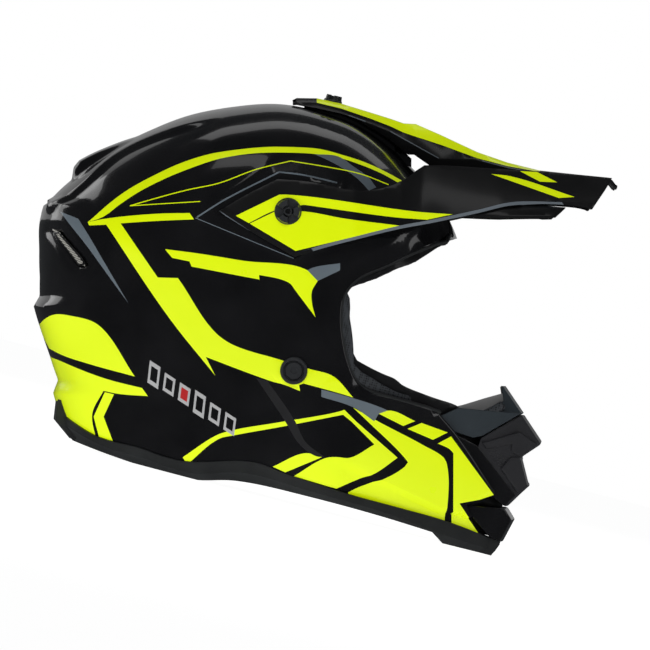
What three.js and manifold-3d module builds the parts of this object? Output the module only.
// Motocross helmet: a full helmet with an open eye port, a long chin bar, an adjustable peak and a D-ring strap.
//
// Design frame, in millimetres: X forward, Y to the wearer's left, Z up, with the wearer's head level.
// Its origin is on the peak's pivot axis, halfway between the two side screws.
// The finished group leans back by REST_PITCH, as the helmet does when it stands on a table, and its
// origin moves to the middle of the footprint at table height.
import * as THREE from "three";
import { mergeVertices } from "three/addons/utils/BufferGeometryUtils.js";
import Module from "manifold-3d";

const wasm = await Module();
wasm.setup();

// ---------------------------------------------------------------- driving dimensions
const REST_PITCH = 14.6; // degrees the helmet leans back on a table
const HALF_WIDTH = 122; // outer shell, mid-plane to the widest point of one side
const SHELL = 4; // moulded shell wall
const GAP = 0.4; // between pieces that touch
const EPS_DEPTH = 34; // outer surface to the inside of the foam liner
const PAD_DEPTH = 42; // outer surface to the face of the comfort padding
const HEAD_HALF_WIDTH = 66; // mid-plane to the face of a cheek pad
const PEAK_WALL = 3;
const SCREW_HEAD_RADIUS = 9.5;
const SCREW_SHANK_RADIUS = 3;
const STRAP_WIDTH = 22;
const STRAP_THICKNESS = 2;
const RING_WIRE = 4; // diameter of the wire of a D-ring

const CENTRE = [-23, -54]; // middle of the side view, from which the shell is inflated
const FINE = { round: 48, across: 8 }; // points round the side view, and from one side to the mid-plane
const COARSE = { round: 32, across: 6 }; // the same for what lies inside
const EDGE_POWER = 2.7; // how square the shell is towards its outline in the side view
const WIDTH_POWER = 2.25; // how square it is towards its flank

// The shell's outline in the side view, from the brow over the crown and down the back. Where the real edge is
// an opening, such as the face and the neck, it runs on as the surface would.
const SILHOUETTE = [
  [114, -8], [104, 12], [86, 32], [47, 62], [25, 70], [-4, 76], [-41, 74], [-90, 60], [-119, 46],
  [-146, 28], [-169, 0], [-173, -28], [-174, -62], [-170, -95], [-165, -125], [-148, -165],
  [-110, -198], [-50, -222], [20, -245], [80, -262], [120, -262], [152, -240], [168, -205], [165, -175],
  [156, -140], [144, -100], [128, -50],
];
// The face opening, from the brow back to the temple and forward along the chin bar.
const FACE = [
  [200, -10], [109, -20], [48, -46], [39, -57], [39, -84], [44, -110], [57, -124], [97, -136], [200, -150],
];
// The front edge of the moulded shell, round the mouthpiece.
const SHELL_FRONT = [[106, -142], [117, -154], [145, -196], [124, -203], [147, -230]];
// The seam between the shell and the lower trim, from the chin to the nape, and the trim's lower edge.
const SEAM = [
  [134, -225], [109, -214], [43, -195], [-6, -179], [-29, -172], [-72, -172], [-102, -163],
  [-132, -155], [-162, -135], [-168, -127],
];
const REST_HEIGHT = -202.3; // z, below the design origin, of the table under the standing helmet
const onTable = (x) => [x, REST_HEIGHT - x * Math.tan((REST_PITCH * Math.PI) / 180)];
const TRIM_FOOT = [
  [147, -231], onTable(140), onTable(106), [99, -222], [15, -197], [-37, -186], onTable(-66), onTable(-100),
  [-130, -166], [-152, -157], [-172, -140],
];

// ---------------------------------------------------------------- geometry helpers
const sub = (a, b) => a.map((v, i) => v - b[i]);
const add = (a, b) => a.map((v, i) => v + b[i]);
const scaled = (a, s) => a.map((v) => v * s);
const dot = (a, b) => a.reduce((sum, v, i) => sum + v * b[i], 0);
const rad = THREE.MathUtils.degToRad;

const polar = SILHOUETTE.map(([x, z]) => {
  const [dx, dz] = [x - CENTRE[0], z - CENTRE[1]];
  return { angle: Math.atan2(dz, dx), radius: Math.hypot(dx, dz) };
}).sort((a, b) => a.angle - b.angle);

// The silhouette's radius at an angle, by a smooth periodic curve through the listed points.
function silhouetteRadius(angle) {
  const turn = 2 * Math.PI;
  const wrapped = Math.atan2(Math.sin(angle), Math.cos(angle));
  const n = polar.length;
  let i = polar.findIndex((p) => p.angle > wrapped);
  if (i < 0) i = n;
  const point = (k) => {
    const p = polar[((k % n) + n) % n];
    return { angle: p.angle + turn * Math.floor(k / n), radius: p.radius };
  };
  const [a, b, c, d] = [point(i - 2), point(i - 1), point(i), point(i + 1)];
  const h = c.angle - b.angle;
  const t = (wrapped - b.angle) / h;
  const slopeB = ((c.radius - a.radius) / (c.angle - a.angle)) * h;
  const slopeC = ((d.radius - b.radius) / (d.angle - b.angle)) * h;
  return (
    (2 * t ** 3 - 3 * t ** 2 + 1) * b.radius + (t ** 3 - 2 * t ** 2 + t) * slopeB +
    (3 * t ** 2 - 2 * t ** 3) * c.radius + (t ** 3 - t ** 2) * slopeC
  );
}

// The chin bar narrows forward: the share of the egg's width that is left at a place in the side view.
const CHIN_TAPER = 0.28;
function taper(x, z) {
  const forward = THREE.MathUtils.smoothstep(x, 20, 150);
  const down = THREE.MathUtils.smoothstep(-z, 80, 150);
  return 1 - CHIN_TAPER * forward * down;
}

// Half-width of the shell's outer surface at a place in the side view.
function flank(x, z, offset = 0) {
  const [dx, dz] = [x - CENTRE[0], z - CENTRE[1]];
  const share = Math.hypot(dx, dz) / (silhouetteRadius(Math.atan2(dz, dx)) + offset);
  if (share >= 1) return 0;
  return (HALF_WIDTH + offset) * taper(x, z) * (1 - share ** EDGE_POWER) ** (1 / WIDTH_POWER);
}

function geometryOf(vertices, triangles) {
  const geometry = new THREE.BufferGeometry();
  geometry.setAttribute("position", new THREE.Float32BufferAttribute(vertices.flat(), 3));
  geometry.setIndex(triangles.flat());
  return geometry;
}

function solid(geometry) {
  const bare = geometry.clone();
  bare.deleteAttribute("normal");
  bare.deleteAttribute("uv");
  const merged = mergeVertices(bare, 1e-4);
  const made = new wasm.Manifold(
    new wasm.Mesh({
      numProp: 3,
      vertProperties: merged.attributes.position.array,
      triVerts: new Uint32Array(merged.index.array),
    }),
  );
  if (made.volume() > 0) return made;
  const turned = new Uint32Array(merged.index.array);
  for (let i = 0; i < turned.length; i += 3) {
    [turned[i + 1], turned[i + 2]] = [turned[i + 2], turned[i + 1]];
  }
  return new wasm.Manifold(
    new wasm.Mesh({ numProp: 3, vertProperties: merged.attributes.position.array, triVerts: turned }),
  );
}

function backToGeometry(made) {
  const mesh = made.getMesh();
  const geometry = new THREE.BufferGeometry();
  geometry.setAttribute("position", new THREE.Float32BufferAttribute(Array.from(mesh.vertProperties), 3));
  geometry.setIndex(Array.from(mesh.triVerts));
  return geometry;
}

// The whole helmet as one closed egg, offset outwards or inwards from the shell's outer surface.
function egg(offset, { round, across } = FINE) {
  const rows = 2 * across;
  const vertices = [[CENTRE[0], HALF_WIDTH + offset, CENTRE[1]]];
  for (let row = 1; row < rows; row++) {
    const lean = (Math.PI * row) / rows;
    const reach = Math.sin(lean) ** (2 / EDGE_POWER);
    const share = Math.abs(Math.cos(lean)) ** (2 / WIDTH_POWER);
    const side = row === across ? 0 : Math.sign(Math.cos(lean)) * share;
    for (let i = 0; i < round; i++) {
      const angle = (2 * Math.PI * i) / round;
      const radius = (silhouetteRadius(angle) + offset) * reach;
      const x = CENTRE[0] + radius * Math.cos(angle);
      const z = CENTRE[1] + radius * Math.sin(angle);
      vertices.push([x, side * (HALF_WIDTH + offset) * taper(x, z), z]);
    }
  }
  vertices.push([CENTRE[0], -HALF_WIDTH - offset, CENTRE[1]]);
  const at = (row, i) => 1 + (row - 1) * round + (i % round);
  const triangles = [];
  for (let i = 0; i < round; i++) {
    triangles.push([0, at(1, i), at(1, i + 1)]);
    for (let row = 1; row < rows - 1; row++) {
      const [a, b, c, d] = [at(row, i), at(row + 1, i), at(row + 1, i + 1), at(row, i + 1)];
      // The diagonals change hands at the mid-plane, which keeps the two sides alike.
      if (row < across) triangles.push([a, b, c], [a, c, d]);
      else triangles.push([a, b, d], [b, c, d]);
    }
    triangles.push([at(rows - 1, i), vertices.length - 1, at(rows - 1, i + 1)]);
  }
  return solid(geometryOf(vertices, triangles));
}

// A side-view outline pushed straight through the helmet, from y = low to y = high.
function prism(outline, low = -200, high = 200) {
  const shape = new THREE.Shape(outline.map(([x, z]) => new THREE.Vector2(x, z)));
  const geometry = new THREE.ExtrudeGeometry(shape, { depth: high - low, bevelEnabled: false });
  geometry.rotateX(Math.PI / 2);
  geometry.translate(0, high, 0);
  return solid(geometry);
}

// A side-view outline moved outwards by a distance, with mitred corners.
function grown(outline, distance) {
  const area = THREE.ShapeUtils.area(outline.map(([x, y]) => ({ x, y })));
  const turn = Math.sign(area);
  return outline.map((p, i) => {
    const before = sub(p, outline.at(i - 1));
    const after = sub(outline[(i + 1) % outline.length], p);
    const normal = ([x, z]) => scaled([z, -x], turn / Math.hypot(x, z));
    const [n, m] = [normal(before), normal(after)];
    const sum = add(n, m);
    return add(p, scaled(sum, (2 * distance) / dot(sum, sum)));
  });
}

// A faceted block: a side-view outline whose every corner [x, z, halfWidth] has a half-width of its own.
function facetedBlock(listed) {
  const flatten = (corners) => corners.map(([x, z]) => new THREE.Vector2(x, z));
  const corners = THREE.ShapeUtils.area(flatten(listed)) > 0 ? listed : [...listed].reverse();
  const n = corners.length;
  const vertices = [
    ...corners.map(([x, z, w]) => [x, w, z]),
    ...corners.map(([x, z, w]) => [x, -w, z]),
  ];
  const triangles = [];
  for (const [a, b, c] of THREE.ShapeUtils.triangulateShape(flatten(corners), [])) {
    triangles.push([a, c, b], [n + a, n + b, n + c]);
  }
  for (let p = 0; p < n; p++) {
    const q = (p + 1) % n;
    triangles.push([n + q, n + p, p], [n + q, p, q]);
  }
  return solid(geometryOf(vertices, triangles));
}

// A sheet: a grid of points thickened along its own normals.
function sheet(grid, thickness) {
  const [m, n] = [grid.length, grid[0].length];
  const faces = [];
  for (let i = 0; i + 1 < m; i++) {
    for (let j = 0; j + 1 < n; j++) {
      const [a, b, c, d] = [i * n + j, (i + 1) * n + j, (i + 1) * n + j + 1, i * n + j + 1];
      faces.push([a, b, c], [a, c, d]);
    }
  }
  const top = geometryOf(grid.flat(), faces);
  top.computeVertexNormals();
  const normals = top.getAttribute("normal");
  const points = grid.flat();
  const under = points.map((p, i) => [
    p[0] - normals.getX(i) * thickness,
    p[1] - normals.getY(i) * thickness,
    p[2] - normals.getZ(i) * thickness,
  ]);
  const count = points.length;
  const triangles = [...faces, ...faces.map(([a, b, c]) => [count + a, count + c, count + b])];
  const rim = [];
  for (let i = 0; i < m - 1; i++) rim.push(i * n);
  for (let j = 0; j < n - 1; j++) rim.push((m - 1) * n + j);
  for (let i = m - 1; i > 0; i--) rim.push(i * n + n - 1);
  for (let j = n - 1; j > 0; j--) rim.push(j);
  rim.forEach((p, i) => {
    const q = rim[(i + 1) % rim.length];
    triangles.push([p, count + q, q], [p, count + p, count + q]);
  });
  return solid(geometryOf([...points, ...under], triangles));
}

// A cylinder or cone along Y, from y = low to y = high, at [x, z].
function cylinderY([x, z], radius, low, high, sides = 20, radiusHigh = radius) {
  const geometry = new THREE.CylinderGeometry(radiusHigh, radius, high - low, sides);
  geometry.translate(x, (low + high) / 2, z);
  return solid(geometry);
}

// A turned piece about +Z from a profile of [radius, height], moved to a place with its axis leant forward.
function turned(profile, sides, lean, place) {
  const geometry = new THREE.LatheGeometry(profile.map(([r, h]) => new THREE.Vector2(r, h)), sides);
  geometry.rotateX(Math.PI / 2);
  geometry.rotateY(rad(lean));
  geometry.translate(...place);
  return solid(geometry);
}

const mirrored = (made) => made.mirror([0, 1, 0]);
const both = (made) => made.add(mirrored(made));
const leftHalf = solid(new THREE.BoxGeometry(600, 300, 600).translate(0, 150 + GAP / 2, 0));

// ---------------------------------------------------------------- the group and its materials
const materials = {
  gloss_black: { color: 0x0a0b0d, roughness: 0.12, metalness: 0 },
  satin_black: { color: 0x1c1e21, roughness: 0.45, metalness: 0 },
  slate: { color: 0x343a40, roughness: 0.5, metalness: 0 },
  rubber: { color: 0x202224, roughness: 0.7, metalness: 0 },
  foam: { color: 0x2b2d30, roughness: 0.9, metalness: 0 },
  fabric: { color: 0x26292d, roughness: 0.95, metalness: 0 },
  webbing: { color: 0x121315, roughness: 0.85, metalness: 0 },
  vent_metal: { color: 0x8f8f86, roughness: 0.45, metalness: 0.6 },
  steel: { color: 0xb9bcc0, roughness: 0.3, metalness: 1 },
};
for (const [name, look] of Object.entries(materials)) {
  materials[name] = new THREE.MeshStandardMaterial({ name, ...look });
}

const helmet = new THREE.Group();
function piece(name, made, material) {
  const mesh = new THREE.Mesh(backToGeometry(made), materials[material]);
  mesh.name = name;
  helmet.add(mesh);
}

// ---------------------------------------------------------------- shell
const outer = egg(0);
const inner = egg(-SHELL);
const innerClear = egg(-SHELL - GAP);
const innerCoarse = egg(-SHELL - 6 * GAP, COARSE); // its flats stay clear of the shell's finer ones

// Side-view region of the moulded shell: above the seam, behind the mouthpiece and outside the face opening.
const FACE_TRIM = 3.5; // width of the rubber edging round the face opening
const faceEdge = grown(FACE, FACE_TRIM);
const shellRegion = prism([
  ...SHELL_FRONT, ...SEAM, [-230, -127], [-230, 140], [230, 140], [230, -60], [80, -60], [80, -142],
]).subtract(prism(faceEdge));

// The peak's side plates lean in towards the crown: y of their outer face at a place in the side view.
const plateFace = (x, z) => 122.3 + 0.02 * x - 0.17 * z;
const PLATE_CLEARANCE = 1.5; // under the plates, so that they can tilt
// The raised diamond that the peak's side plates lie on.
const BOSS = [[-64, -4], [-47, 8], [-9, 27], [8, 27], [26, 19], [30, -18], [5, -33]];
const boss = facetedBlock(
  BOSS.map(([x, z]) => [x, z, plateFace(x, z) - 1.03 * PEAK_WALL - PLATE_CLEARANCE]),
);

const PIVOT = [0, 0];
const STRAP_ANCHOR = [4, -110]; // the strap rivet, low on the flank
const anchorY = flank(...STRAP_ANCHOR) + 1; // face of the flat pad round it
const anchorPad = cylinderY(STRAP_ANCHOR, 11, 100, anchorY, 28);
const topScrew = { x: 31, z: 79.5, lean: 14 }; // the middle screw of the peak: lean is from upright, forward
const topPlace = (height) => [
  topScrew.x + Math.sin(rad(topScrew.lean)) * height, 0, topScrew.z + Math.cos(rad(topScrew.lean)) * height,
];
const topBore = (radius) =>
  turned([[0, -24], [radius, -24], [radius, 16], [0, 16]], 16, topScrew.lean, topPlace(0));

const BARREL = 5; // radius of a threaded insert
const sideBores = (radius) => both(cylinderY(PIVOT, radius, 60, 140, 16));
const anchorBores = both(cylinderY(STRAP_ANCHOR, 3.2, 60, 140, 16));

// Exhaust scoop at the back of the crown and the recessed vent behind each ear.
const scoop = facetedBlock([
  [-110, 46, 30], [-119, 47, 30], [-144, 38, 24], [-148, 34, 24], [-152, 19, 22], [-138, 20, 30],
]);
const scoopMouth = facetedBlock([[-158, 31, 17], [-130, 34, 17], [-130, 28, 17], [-158, 24, 17]]);
const VENT = [[-163, -13], [-157, -13], [-139, -37], [-147, -38]];
const ventCut = (grow) => both(prism(grown(VENT, grow), 20, 160));

const bothFlanks = both(solid(new THREE.BoxGeometry(500, 70, 500).translate(0, 95, 0)));
const shell = outer
  .add(boss.intersect(bothFlanks))
  .add(both(anchorPad))
  .add(scoop)
  .subtract(inner)
  .intersect(shellRegion)
  .subtract(ventCut(0.5))
  .subtract(scoopMouth)
  .subtract(sideBores(BARREL + 0.3))
  .subtract(topBore(BARREL + 0.3))
  .subtract(anchorBores);
const largest = (made) => made.decompose().sort((a, b) => b.volume() - a.volume())[0];
piece("outer_shell", largest(shell), "gloss_black");

// ---------------------------------------------------------------- vents in the shell
const ventGrilles = largest(egg(-1).subtract(egg(-SHELL + 1)).intersect(prism(VENT, 20, 160)));
piece("rear_vent_grille_left", ventGrilles, "vent_metal");
piece("rear_vent_grille_right", mirrored(ventGrilles), "vent_metal");
piece(
  "crown_exhaust_grille",
  facetedBlock([[-150, 29.5, 16], [-145, 31, 16], [-144, 29.5, 16], [-149, 27, 16]]),
  "vent_metal",
);

// ---------------------------------------------------------------- trims
const faceTrim = egg(1)
  .subtract(egg(-SHELL - 2))
  .intersect(prism(grown(FACE, FACE_TRIM - GAP)).subtract(prism(FACE)))
  .subtract(prism([[106, -90], [230, -90], [230, -240], [106, -240]]));
piece("face_opening_trim", largest(faceTrim), "rubber");

const trimRegion = prism([...TRIM_FOOT, [-185, -127], ...[...SEAM].reverse().map(([x, z]) => [x, z - GAP])]);
// The trim crosses the mid-plane as a bar, in front and behind.
const frontBar = facetedBlock([[134, -228, 45], [146.5, -231.8, 41], [140.6, -238.4, 41], [128, -235.2, 45]]);
const rearBar = facetedBlock([
  [-160, -133, 42], [-161.5, -144, 42], [-150, -158, 45], [-146, -152, 45], [-152, -138, 42],
]);
const lowerTrim = egg(2.5).subtract(egg(-6)).add(frontBar).add(rearBar).intersect(trimRegion);
piece("lower_edge_trim", largest(lowerTrim), "rubber");

// ---------------------------------------------------------------- foam and padding
// Side-view limits of the crown liner: everything above the cheeks, back to the nape.
const LINER_LIMIT = [
  [104, -24], [47, -51], [34, -60], [20, -72], [-50, -80], [-62, -120], [-160, -122], [-230, -120], [-230, 140],
  [180, 140], [180, -10],
];
const pocket = (radius, low) => both(cylinderY(PIVOT, radius, low, 140, 16));
const airChannel = facetedBlock([[60, 40, 9], [64, 47, 9], [20, 68, 9], [-60, 60, 9], [-60, 50, 9], [18, 52, 9]]);
const crownLiner = innerCoarse
  .subtract(egg(-EPS_DEPTH, COARSE))
  .intersect(prism(LINER_LIMIT))
  .subtract(prism(grown(FACE, FACE_TRIM + GAP)))
  .subtract(pocket(13, 90))
  .subtract(topBore(13))
  .subtract(both(airChannel));
piece("impact_liner_crown", largest(crownLiner), "foam");

const PAD_LIMIT = [
  [70, -20], [30, -45], [-50, -70], [-100, -95], [-150, -80], [-200, -50], [-200, 90], [120, 90],
];
const crownPad = egg(-EPS_DEPTH - GAP, COARSE).subtract(egg(-PAD_DEPTH, COARSE)).intersect(prism(PAD_LIMIT));
piece("comfort_liner_crown", largest(crownPad), "fabric");

// Cheek pads: a foam block against the shell, a soft pad on its face, and the press studs between them.
const STUD_RADIUS = 5;
const STUD_SPAN = [HEAD_HALF_WIDTH + 11, HEAD_HALF_WIDTH + 20];
const STUDS = [[-32, -98], [24, -98], [12, -160]];
const studHole = (place) => cylinderY(place, STUD_RADIUS + GAP, STUD_SPAN[0] - GAP, STUD_SPAN[1] + GAP, 12);
const studHoles = (made) => STUDS.reduce((left, place) => left.subtract(studHole(place)), made);
const CHEEK = [
  [-44, -84], [18, -76], [32, -64], [33, -112], [50, -127], [54, -150], [40, -186], [-4, -172], [-44, -165],
];
const cheekFoam = innerCoarse
  .intersect(prism(CHEEK, HEAD_HALF_WIDTH + 16, 200))
  .subtract(cylinderY(STRAP_ANCHOR, 13, 96, 140, 16))
  .subtract(prism([[-12, -97], [20, -97], [20, -200], [-12, -200]], 86, 140));
piece("cheek_foam_left", largest(studHoles(cheekFoam)), "foam");
piece("cheek_foam_right", mirrored(largest(studHoles(cheekFoam))), "foam");
const cheekPad = prism(grown(CHEEK, -2), HEAD_HALF_WIDTH, HEAD_HALF_WIDTH + 16 - GAP)
  .intersect(innerCoarse);
piece("cheek_pad_left", largest(studHoles(cheekPad)), "fabric");
piece("cheek_pad_right", mirrored(largest(studHoles(cheekPad))), "fabric");

const NECK = [[-64, -124], [-163, -125], [-166, -130], [-134, -149], [-100, -158], [-64, -166]];
const neckRoll = innerCoarse.subtract(egg(-28, COARSE)).intersect(prism(NECK));
piece("neck_roll", largest(neckRoll), "fabric");

const CHIN = [[66, -132], [100, -142], [114, -158], [118, -196], [70, -199], [58, -160]];
const chinLiner = innerCoarse.subtract(egg(-24, COARSE)).intersect(prism(CHIN));
for (const [name, flip] of [["chin_bar_foam_left", false], ["chin_bar_foam_right", true]]) {
  const half = largest(chinLiner.intersect(leftHalf));
  piece(name, flip ? mirrored(half) : half, "foam");
}

// ---------------------------------------------------------------- mouthpiece
// Corners are [x, z, half-width].
const NOSE_GUARD = [
  [107, -143.5, 70], [126, -146, 60], [150, -128, 36], [150, -121, 34], [154, -125, 34], [162, -139.5, 40],
  [129, -156.5, 60], [118, -154.5, 67],
];
const MOUTH_COVER = [
  [134, -157, 52], [162.5, -141.5, 38], [174.5, -160, 30], [172, -162.5, 33], [161.5, -170, 36], [166, -190, 30],
  [160, -196, 34], [151, -205, 40], [126, -166, 54],
];
const CHIN_VENT = [[129, -204.5, 50], [149, -207.8, 41], [155, -214, 34], [150, -226.6, 38], [147, -222, 42]];
const mouthTunnel = facetedBlock([[180, -163, 20], [180, -186, 20], [146, -192, 24], [142, -168, 24]]);
const mouthCover = facetedBlock(MOUTH_COVER).subtract(mouthTunnel);
const noseHollow = prism([[100, -147], [140, -149], [152, -133], [150, -100], [100, -100]], -30, 30);
piece("nose_guard", largest(facetedBlock(NOSE_GUARD).subtract(noseHollow)), "slate");
piece("mouth_vent_cover", mouthCover, "satin_black");
piece(
  "mouth_vent_grille",
  facetedBlock([[148, -170, 19], [151, -170, 19], [154, -186, 19], [151, -187, 19]]),
  "vent_metal",
);
piece("chin_vent", facetedBlock(CHIN_VENT), "gloss_black");

// ---------------------------------------------------------------- peak
// The upper and lower edges of a side wing, from the rear tip of its side plate to the front: [x, y, z].
const onPlate = ([x, z]) => [x, plateFace(x, z), z];
const WING_TOP = [
  ...[[-48, 1.5], [-28, 12], [-7, 23], [19, 20]].map(onPlate),
  [47, 117.5, 15], [79, 101, 21], [93, 84, 32], [111, 76, 32.5], [146, 66, 30.5], [180, 55, 29], [224, 42, 24],
];
const WING_FOOT = [
  ...[[-48, -1.5], [-22, -16], [4.5, -31.5], [24, -26.5]].map(onPlate),
  [47, 124.5, -20], [79, 112, -12], [98, 105, -7.5], [112, 101, -4], [148, 90, 1], [182, 77, 3], [211, 64, 2.5],
];
// The middle ridge, from the spine's rear end to the front lip: [x, z, half-width of its top, depth of its sides].
const RIDGE = [
  [4, 81, 12, 4], [20, 81, 12, 5], [37, 77, 13, 6.5], [57, 71.5, 14, 8], [81, 63.5, 16, 9], [89, 62.5, 16, 10],
  [107, 54.5, 18, 11], [134, 40, 20, 8], [160, 33, 21, 3.5], [180, 29.5, 22, 1.5], [224, 24.5, 22, 1], [229, 19, 22, 1],
];

const along = (t, a, b) => add(scaled(a, 1 - t), scaled(b, t));
const WING_STEPS = 3;
const wing = sheet(
  WING_TOP.map((top, i) =>
    Array.from({ length: WING_STEPS + 1 }, (_, j) => along(j / WING_STEPS, top, WING_FOOT[i])),
  ),
  PEAK_WALL,
);
// The blade joins the two wings in front of the crown, with the ridge standing up from it.
const blade = sheet(
  [...WING_TOP.filter(([x]) => x > 100), [229, 40, 19]].map(([x, edge, z]) => {
    const across = [-edge, -(edge + 26) / 2, -26, 0, 26, (edge + 26) / 2, edge];
    return across.map((y) => [x, y, z]);
  }),
  PEAK_WALL,
);
// The spine: an upside-down channel that carries the middle screw.
const spine = sheet(
  RIDGE.map(([x, z, w, depth]) => [
    [x, -w - 3, z - depth], [x, -w, z], [x, -w / 2, z + 0.6], [x, w / 2, z + 0.6], [x, w, z], [x, w + 3, z - depth],
  ]),
  PEAK_WALL,
);
const SLOT = { back: 14, front: 14 }; // reach of the slot behind and ahead of the middle screw
const slot = solid(
  new THREE.BoxGeometry(SLOT.back + SLOT.front, 2 * SCREW_SHANK_RADIUS + 1.2, 24)
    .translate((SLOT.front - SLOT.back) / 2, 0, 0)
    .rotateY(rad(topScrew.lean))
    .translate(...topPlace(0)),
);
const screwSeat = plateFace(...PIVOT) + 0.1; // y of the flat spot under the head of a side screw
const peak = spine
  .add(blade)
  .add(both(wing))
  .subtract(slot)
  .subtract(sideBores(SCREW_SHANK_RADIUS + 0.6))
  .subtract(both(cylinderY(PIVOT, SCREW_HEAD_RADIUS + 1, screwSeat, 140)));
piece("peak", largest(peak), "satin_black");

// ---------------------------------------------------------------- screws and inserts
// A thumb screw about +Z: a knurled head on a shank. Its head's underside is at height 0.
function thumbScrew(headRadius, headHeight, shank) {
  let made = turned(
    [[0, -shank], [SCREW_SHANK_RADIUS, -shank], [SCREW_SHANK_RADIUS, 0], [headRadius, 0],
      [headRadius, headHeight * 0.6], [headRadius * 0.8, headHeight], [0, headHeight]],
    24, 0, [0, 0, 0],
  );
  for (let i = 0; i < 4; i++) {
    const notch = solid(
      new THREE.BoxGeometry(3, 4, 4)
        .translate(headRadius, 0, headHeight)
        .rotateZ((Math.PI / 2) * (i + 0.5)),
    );
    made = made.subtract(notch);
  }
  return made;
}
const sideScrew = thumbScrew(SCREW_HEAD_RADIUS, 6, 16).rotate([-90, 0, 0]).translate([0, screwSeat + 0.3, 0]);
piece("peak_screw_left", sideScrew, "satin_black");
piece("peak_screw_right", mirrored(sideScrew), "satin_black");
const middleScrew = thumbScrew(7, 5.5, 16)
  .rotate([0, topScrew.lean, 0])
  .translate(topPlace(2));
piece("peak_screw_top", middleScrew, "satin_black");

// Threaded inserts, from inside the shell: a flange and a barrel.
const insertProfile = [
  [SCREW_SHANK_RADIUS + 0.3, -6], [10, -6], [10, -4.2], [BARREL, -4.2], [BARREL, 2], [SCREW_SHANK_RADIUS + 0.3, 2],
  [SCREW_SHANK_RADIUS + 0.3, -6],
];
const sideInsert = turned(insertProfile, 16, 0, [0, 0, 0]).rotate([-90, 0, 0]).translate([0, 110.5, 0]);
piece("screw_insert_left", sideInsert, "steel");
piece("screw_insert_right", mirrored(sideInsert), "steel");
piece("screw_insert_top", turned(insertProfile, 16, topScrew.lean, topPlace(-13.5)), "steel");

// ---------------------------------------------------------------- chin strap
// Rivet and cover ring on each flank, at the strap's anchor.
const rivet = cylinderY(STRAP_ANCHOR, 2.8, anchorY - 17, anchorY + 1, 16)
  .add(cylinderY(STRAP_ANCHOR, 6.5, anchorY + GAP, anchorY + 2.2, 20, 5.5))
  .add(cylinderY(STRAP_ANCHOR, 5.5, anchorY - 20, anchorY - 17, 20));
piece("strap_rivet_left", rivet, "satin_black");
piece("strap_rivet_right", mirrored(rivet), "satin_black");
const coverRing = cylinderY(STRAP_ANCHOR, 9.6, anchorY + GAP, anchorY + 3, 28, 8.6)
  .subtract(cylinderY(STRAP_ANCHOR, 7, anchorY - 5, anchorY + 8, 28));
piece("strap_cover_ring_left", coverRing, "rubber");
piece("strap_cover_ring_right", mirrored(coverRing), "rubber");

// A strap is a flat ribbon along a path of [y, z], STRAP_WIDTH wide along X.
const [strapX, anchorZ] = STRAP_ANCHOR;
function ribbon(path) {
  const curve = new THREE.SplineCurve(path.map(([y, z]) => new THREE.Vector2(y, z))).getPoints(path.length * 2);
  const sides = [[], []];
  curve.forEach((p, i) => {
    const way = curve[Math.min(i + 1, curve.length - 1)].clone().sub(curve[Math.max(i - 1, 0)]).normalize();
    const normal = new THREE.Vector2(-way.y, way.x).multiplyScalar(STRAP_THICKNESS / 2);
    sides[0].push(p.clone().add(normal));
    sides[1].push(p.clone().sub(normal));
  });
  const shape = new THREE.Shape([...sides[0], ...sides[1].reverse()]);
  const geometry = new THREE.ExtrudeGeometry(shape, { depth: STRAP_WIDTH, bevelEnabled: false });
  // The extrusion's own x, y and depth become the helmet's y, z and x.
  const turn = new THREE.Matrix4().set(0, 0, 1, strapX - STRAP_WIDTH / 2, 1, 0, 0, 0, 0, 1, 0, 0, 0, 0, 0, 1);
  return solid(geometry.applyMatrix4(turn));
}

// Steel plate on each rivet, and the webbing stitched to it, which leaves the cheek through a channel.
const plateY = anchorY - 15.5;
const anchorPlate = cylinderY(STRAP_ANCHOR, 9, plateY - 0.8, plateY + 0.8, 20)
  .add(solid(new THREE.BoxGeometry(18, 1.6, 12).translate(strapX, plateY, anchorZ - 10)))
  .subtract(cylinderY(STRAP_ANCHOR, 3.2, plateY - 4, plateY + 4, 16));
piece("strap_anchor_plate_left", anchorPlate, "steel");
piece("strap_anchor_plate_right", mirrored(anchorPlate), "steel");
const STRAP_EXIT = -176; // z where the webbing leaves the cheek
const upperStrap = ribbon([
  [plateY - 2.2, anchorZ - 11], [plateY - 3, -135], [plateY - 6.5, -155], [91.4, -170], [91, STRAP_EXIT],
]);
piece("strap_upper_left", upperStrap, "webbing");
piece("strap_upper_right", mirrored(upperStrap), "webbing");

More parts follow.
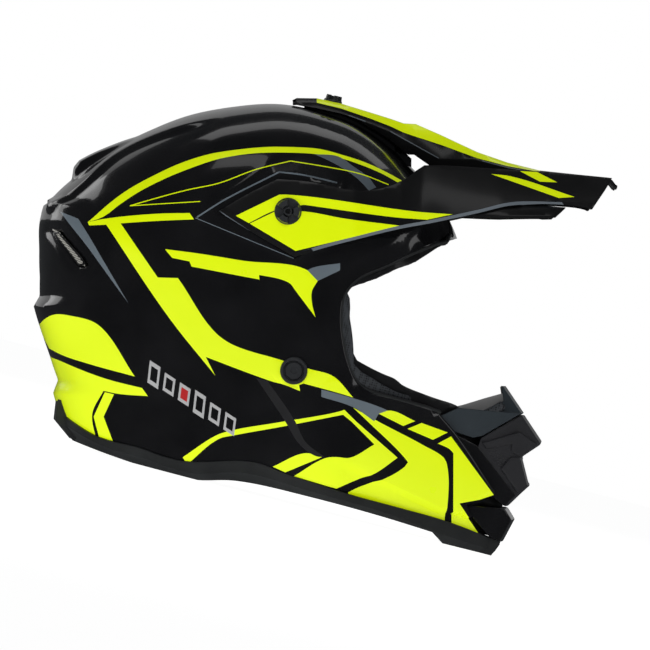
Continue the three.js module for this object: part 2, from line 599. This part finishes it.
// The fastened loop under the chin, which hangs from the two exits: it is turned to hang plumb on the table.
const STRAP_HINGE = [strapX, -173];
const plumb = (made) =>
  made
    .translate([-STRAP_HINGE[0], 0, -STRAP_HINGE[1]])
    .rotate([0, REST_PITCH, 0])
    .translate([STRAP_HINGE[0], 0, STRAP_HINGE[1]]);
const RING_Z = [-179.3, -184]; // upper and lower D-ring
const longStrap = ribbon([
  [88.4, -173], [87.4, -180], [80.5, -186.5], [66, -189.5], [20, -190.4], [-10, -190.6], [-26, -190.7], [-35, -186],
  [-37.3, -180.5], [-34, -174.5], [-24, -173.3], [-4, -174.5], [20, -176], [46, -177.5],
]);
piece("strap_long_end", plumb(longStrap), "webbing");
const shortStrap = ribbon([
  [-88.4, -173], [-87.4, -180], [-81, -186.5], [-68, -189.8], [-55, -190.5], [-47.5, -188.5], [-44.5, -182],
  [-47.5, -175.8], [-55, -174.6], [-63, -177.6],
]);
piece("strap_ring_end", plumb(shortStrap), "webbing");

// A D-ring lies flat: straight at the back, where its strap holds it, and rounded in front.
function ringOutline(inset) {
  const [halfWidth, back, front] = [17 - inset, -56 + inset, -26 - inset];
  const round = 12 - inset * 0.75;
  const shape = new THREE.Path();
  shape.moveTo(-halfWidth, back);
  shape.lineTo(halfWidth, back);
  shape.lineTo(halfWidth, front - round);
  shape.absarc(halfWidth - round, front - round, round, 0, Math.PI / 2, false);
  shape.absarc(-halfWidth + round, front - round, round, Math.PI / 2, Math.PI, false);
  shape.closePath();
  return shape;
}
function dRing(z) {
  const shape = new THREE.Shape(ringOutline(0).getPoints(6));
  shape.holes.push(new THREE.Path(ringOutline(RING_WIRE).getPoints(6).reverse()));
  const geometry = new THREE.ExtrudeGeometry(shape, { depth: RING_WIRE, bevelEnabled: false });
  return solid(geometry.translate(strapX, 0, z - RING_WIRE / 2));
}
piece("d_ring_upper", plumb(dRing(RING_Z[0])), "steel");
piece("d_ring_lower", plumb(dRing(RING_Z[1])), "steel");
const snap = solid(new THREE.CylinderGeometry(5, 6, 2.6, 16).rotateX(Math.PI / 2).translate(strapX, 36, -174.1));
piece("strap_snap", plumb(snap), "steel");

// ---------------------------------------------------------------- press studs that hold the cheek pads
STUDS.forEach((place, i) => {
  const stud = cylinderY(place, STUD_RADIUS, STUD_SPAN[0], STUD_SPAN[1], 12);
  piece(`cheek_stud_left_${i + 1}`, stud, "satin_black");
  piece(`cheek_stud_right_${i + 1}`, mirrored(stud), "satin_black");
});

// ---------------------------------------------------------------- standing on the table
const standing = new THREE.Group();
helmet.rotation.y = -rad(REST_PITCH);
standing.add(helmet);
const box = new THREE.Box3().setFromObject(standing, true);
helmet.position.set(-(box.min.x + box.max.x) / 2, 0, -box.min.z);
helmet.updateMatrixWorld(true);

export default standing;
